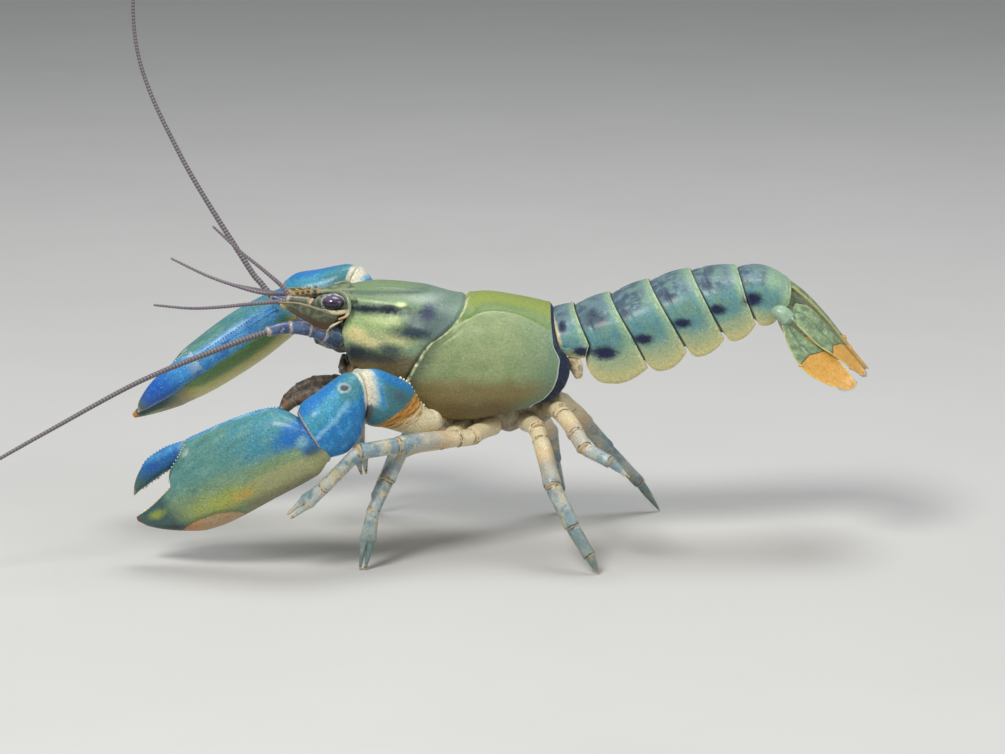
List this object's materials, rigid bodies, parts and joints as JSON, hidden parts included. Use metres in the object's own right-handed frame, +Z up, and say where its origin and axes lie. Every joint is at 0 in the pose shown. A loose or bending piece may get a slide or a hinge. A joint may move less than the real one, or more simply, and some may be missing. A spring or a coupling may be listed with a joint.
{
  "type": "crayfish model",
  "caption": "Life-size crayfish in a walking stance with raised claws, long feelers, ringed abdomen and a drooping tail fan.",
  "frame": {"origin": "middle of the model's box, on the floor that its feet stand on", "axes": "+Z up; the head points to -X and the animal's left side to -Y"},
  "size_m": [0.16, 0.0596, 0.1121],
  "materials": {
    "shell": "olive green shell, satin, speckled",
    "ring": "blue-green shell with navy spots, satin",
    "claw": "blue to green shell, finely granular, semi-gloss",
    "limb": "grey-blue, pale at the joints, satin",
    "feeler": "brown-grey, finely ringed",
    "fan": "pale green to orange blades, satin",
    "belly": "pale soft underside",
    "eye": "dark purple, high gloss"
  },
  "bodies": {
    "root": {"abdomen_1": "ring", "abdomen_2": "ring", "abdomen_3": "ring", "abdomen_4": "ring", "abdomen_5": "ring", "abdomen_6": "ring", "antenna_base_left": "feeler", "antenna_base_right": "feeler", "antenna_left": "feeler", "antenna_right": "feeler", "antennal_scale_left": "feeler", "antennal_scale_right": "feeler", "antennule_left": "feeler", "antennule_right": "feeler", "claw_arm_left": "claw", "claw_arm_right": "claw", "claw_finger_left": "claw", "claw_finger_right": "claw", "claw_hand_left": "claw", "claw_hand_right": "claw", "claw_wrist_left": "claw", "claw_wrist_right": "claw", "eye_left": "eye", "eye_right": "eye", "eyestalk_left": "limb", "eyestalk_right": "limb", "head": "shell", "leg_2_left_lower": "limb", "leg_2_left_upper": "limb", "leg_2_right_lower": "limb", "leg_2_right_upper": "limb", "leg_3_left_lower": "limb", "leg_3_left_upper": "limb", "leg_3_right_lower": "limb", "leg_3_right_upper": "limb", "leg_4_left_lower": "limb", "leg_4_left_upper": "limb", "leg_4_right_lower": "limb", "leg_4_right_upper": "limb", "leg_5_left_lower": "limb", "leg_5_left_upper": "limb", "leg_5_right_lower": "limb", "leg_5_right_upper": "limb", "maxilliped_left": "limb", "maxilliped_right": "limb", "sternum": "belly", "telson": "fan", "thorax": "shell", "uropod_base_left": "fan", "uropod_base_right": "fan", "uropod_inner_left": "fan", "uropod_inner_right": "fan", "uropod_outer_left": "fan", "uropod_outer_right": "fan"}
  },
  "joints": []
}
